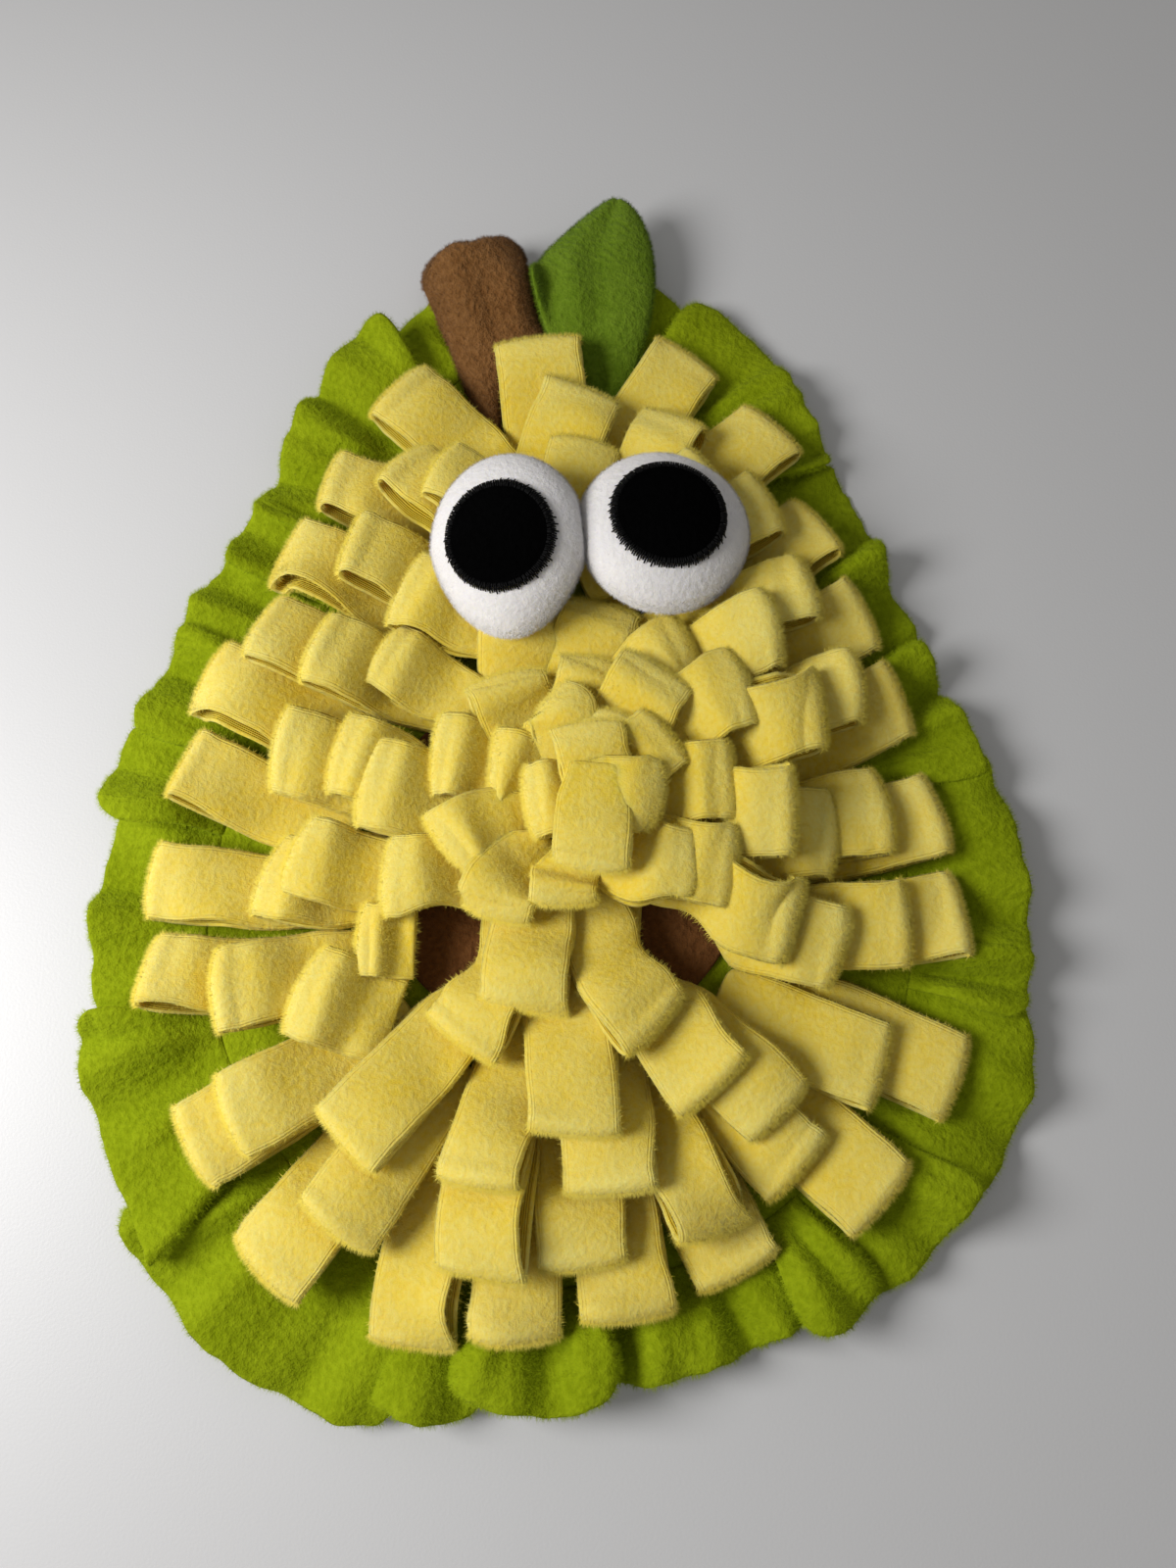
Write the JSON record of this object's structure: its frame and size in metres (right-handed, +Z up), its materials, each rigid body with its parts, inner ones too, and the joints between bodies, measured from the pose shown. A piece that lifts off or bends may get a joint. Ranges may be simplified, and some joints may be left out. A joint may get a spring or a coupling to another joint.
{
  "type": "snuffle mat",
  "caption": "Pear-shaped fleece snuffle mat: rows of folded yellow strips on a flat green base with a gathered frill, a stuffed stem, a leaf and two stuffed googly eyes.",
  "frame": {"origin": "on the underside of the base, below the centre of the round brown patch", "axes": "+X to the right, +Y towards the stem, +Z up out of the mat"},
  "size_m": [0.356, 0.4889, 0.0583],
  "materials": {
    "lime_fleece": "short brushed pile",
    "pit_fleece": "short brushed pile",
    "stem_fleece": "curly brushed pile",
    "leaf_fleece": "short brushed pile",
    "yellow_fleece": "brushed pile with a ribbed knit back",
    "white_plush": "short plush",
    "black_velvet": "velvet with a satin-stitched edge"
  },
  "bodies": {
    "root": {"base_cloth": "lime_fleece", "frill": "lime_fleece", "pit_patch": "pit_fleece", "stem": "stem_fleece", "leaf": "leaf_fleece", "loops_rim": "yellow_fleece", "loops_second": "yellow_fleece", "loops_third": "yellow_fleece", "loops_fourth": "yellow_fleece", "loops_fifth": "yellow_fleece", "loops_heart": "yellow_fleece", "eye_left": "white_plush", "eye_right": "white_plush", "pupil_left": "black_velvet", "pupil_right": "black_velvet"}
  },
  "joints": []
}
